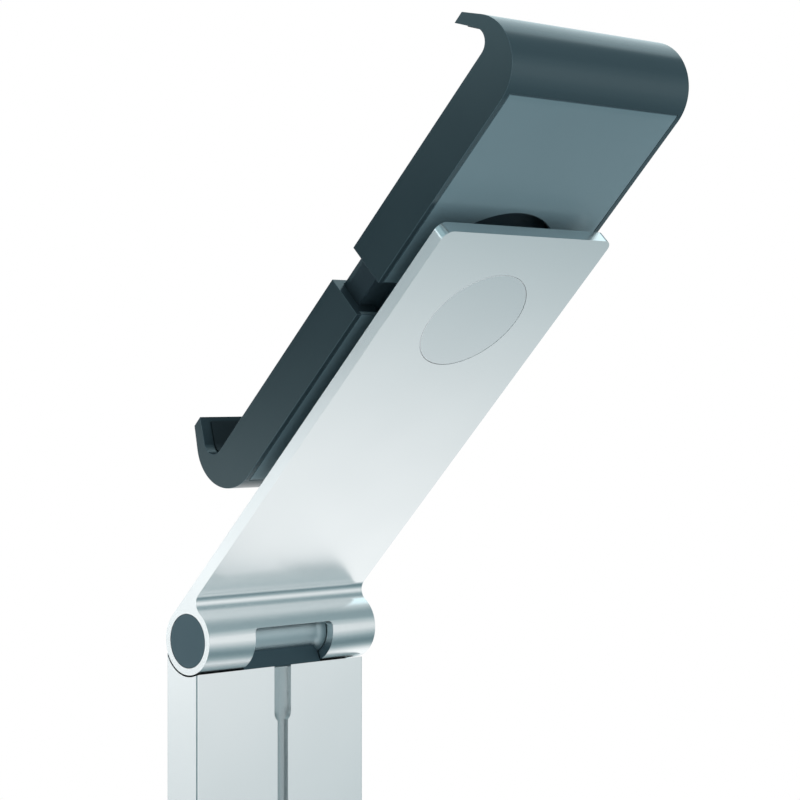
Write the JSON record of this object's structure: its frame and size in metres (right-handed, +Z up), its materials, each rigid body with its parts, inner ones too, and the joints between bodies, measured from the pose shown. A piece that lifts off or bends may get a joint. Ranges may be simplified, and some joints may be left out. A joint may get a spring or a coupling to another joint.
{
  "type": "tablet floor stand",
  "caption": "Floor stand for a tablet: square base, tall slotted flat column, tilting aluminium arm and a swivelling clamp whose hooked jaws slide apart to grip a tablet.",
  "frame": {"origin": "on the floor, under the middle of the base, in the plane of the tilt hinge's axis", "axes": "+Z up, +X along the tilt hinge's axis, -Y the side from which the tablet is used; the arm leans back towards +Y"},
  "size_m": [0.3, 0.3, 1.1928],
  "materials": {
    "aluminium": "satin anodised",
    "base_paint": "satin powder coat",
    "steel": "bright zinc",
    "shaft_steel": "turned, satin",
    "brass": "plain",
    "jaw_plastic": "fine matt texture",
    "back_cover_plastic": "matt",
    "black_plastic": "matt",
    "gear_plastic": "natural, smooth",
    "foot_rubber": "matt",
    "liner_rubber": "matt"
  },
  "bodies": {
    "stand": {"base_plate": "base_paint", "base_feet": "foot_rubber", "column": "aluminium", "tie_rods": "steel", "tie_rod_washers": "steel", "tie_rod_nuts": "steel", "hinge_block": "black_plastic", "hinge_shaft": "shaft_steel", "shaft_screws": "steel", "disc_springs": "steel", "hinge_nuts": "steel"},
    "arm": {"arm": "aluminium", "hinge_bushes": "brass", "friction_washers": "brass", "end_cap_left": "jaw_plastic", "end_cap_right": "jaw_plastic", "tilt_stop_screw": "steel", "arm_cover": "aluminium"},
    "clamp": {"swivel_hub": "black_plastic", "slip_ring": "black_plastic", "swivel_retainer": "steel", "retainer_screws": "steel", "hub_screws": "steel", "carrier": "black_plastic", "pinion_pin": "steel", "carrier_cover": "black_plastic", "cover_screws": "steel"},
    "pinion": {"pinion": "gear_plastic"},
    "upper_jaw": {"upper_jaw": "jaw_plastic", "upper_back_cover": "back_cover_plastic", "upper_liner": "liner_rubber", "upper_rack": "gear_plastic", "upper_rack_screws": "steel"},
    "lower_jaw": {"lower_jaw": "jaw_plastic", "lower_back_cover": "back_cover_plastic", "lower_liner": "liner_rubber", "lower_rack": "gear_plastic", "lower_rack_screws": "steel", "jaw_lock_screw": "steel"}
  },
  "joints": [
    {"name": "tilt", "type": "hinge", "parent": "stand", "child": "arm", "pos_m": [0, 0, 1], "axis": [-1, 0, 0], "range_deg": [-45, 45]},
    {"name": "swivel", "type": "hinge", "parent": "arm", "child": "clamp", "pos_m": [0, 0.09171, 1.10769], "axis": [0, 0.7071, -0.7071], "continuous": true},
    {"name": "jaw_slide", "type": "slide", "parent": "clamp", "child": "upper_jaw", "axis": [0, 0.7071, 0.7071], "range_m": [-0.0064, 0.022]},
    {"name": "lower_jaw_slide", "type": "slide", "parent": "clamp", "child": "lower_jaw", "axis": [0, -0.7071, -0.7071], "range_m": [-0.0064, 0.022]},
    {"name": "pinion_turn", "type": "hinge", "parent": "clamp", "child": "pinion", "pos_m": [0, 0.08167, 1.11773], "axis": [0, -0.7071, 0.7071], "range_deg": [-30, 102]}
  ],
  "couplings": [
    {"joint": "lower_jaw_slide", "follows": "jaw_slide", "ratio": 1},
    {"joint": "pinion_turn", "follows": "jaw_slide", "rad_per_m": 80}
  ]
}
